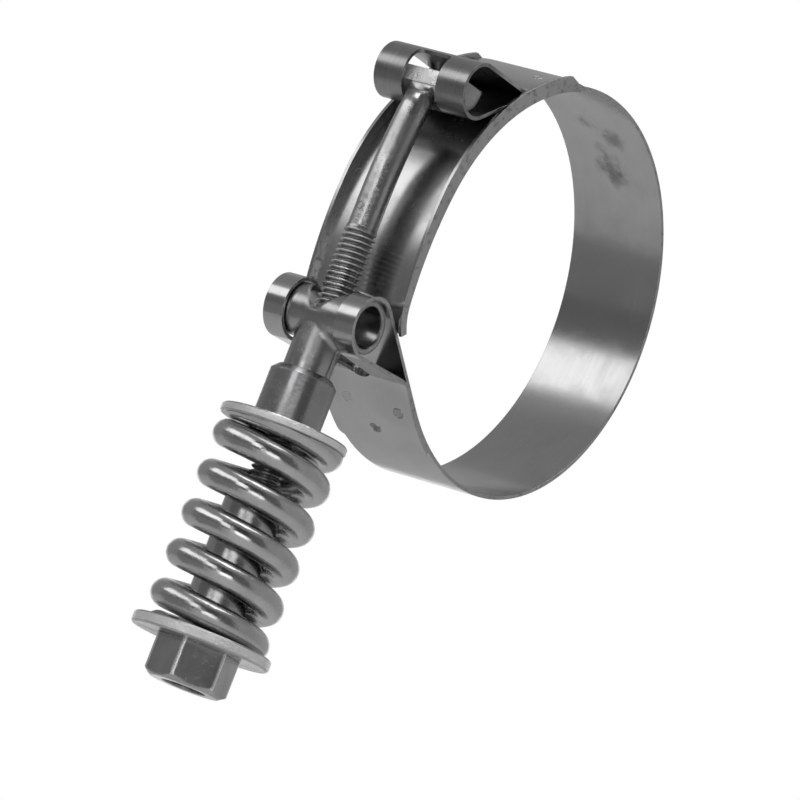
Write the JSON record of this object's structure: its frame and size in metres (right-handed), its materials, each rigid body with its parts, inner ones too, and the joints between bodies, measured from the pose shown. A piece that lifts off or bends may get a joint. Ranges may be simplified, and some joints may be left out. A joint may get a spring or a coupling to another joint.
{
  "type": "t bolt clamp",
  "caption": "Spring-loaded hose clamp: a steel band closed by a cross-headed bolt, with a swivelling trunnion, a coil spring between washers and a sleeve nut.",
  "frame": {"origin": "The centre of the band's circle, halfway across its width.", "axes": "Y is the axis of the hose the clamp goes round. Z runs along the bolt, with the T head up and the sleeve nut down. X points from the bolt towards the far side of the band."},
  "size_m": [0.0902, 0.0244, 0.124],
  "materials": {
    "band": "bright rolled stainless strip",
    "bridge": "bright rolled stainless strip",
    "t_bolt": "forged and rolled stainless steel",
    "trunnion": "tumbled stainless steel",
    "collar": "turned stainless steel",
    "upper_washer": "tumbled stainless steel",
    "spring": "drawn stainless wire",
    "lower_washer": "tumbled stainless steel",
    "sleeve_nut": "turned stainless steel"
  },
  "bodies": {
    "clamp_band": {"band": "band", "bridge": "bridge"},
    "swivel": {"trunnion": "trunnion", "collar": "collar", "upper_washer": "upper_washer"},
    "bolt": {"t_bolt": "t_bolt"},
    "follower": {"lower_washer": "lower_washer", "spring": "spring"},
    "nut": {"sleeve_nut": "sleeve_nut"}
  },
  "joints": [
    {"name": "trunnion_pivot", "type": "hinge", "parent": "clamp_band", "child": "swivel", "pos_m": [-0.0415, 0, -0.0208], "axis": [0, 1, 0], "range_deg": [-0.3, 0.3]},
    {"name": "bolt_play", "type": "slide", "parent": "swivel", "child": "bolt", "axis": [0, 0, 1], "range_m": [-0.0002, 0.0002]},
    {"name": "spring_squeeze", "type": "slide", "parent": "bolt", "child": "follower", "axis": [0, 0, 1], "range_m": [0, 0.0096], "deforming": ["spring"]},
    {"name": "nut_turn", "type": "hinge", "parent": "follower", "child": "nut", "pos_m": [-0.0415, 0, -0.0838], "axis": [0, 0, 1], "range_deg": [0, 3384]}
  ],
  "couplings": [
    {"joint": "spring_squeeze", "follows": "nut_turn", "m_per_rad": 0.00015915}
  ]
}
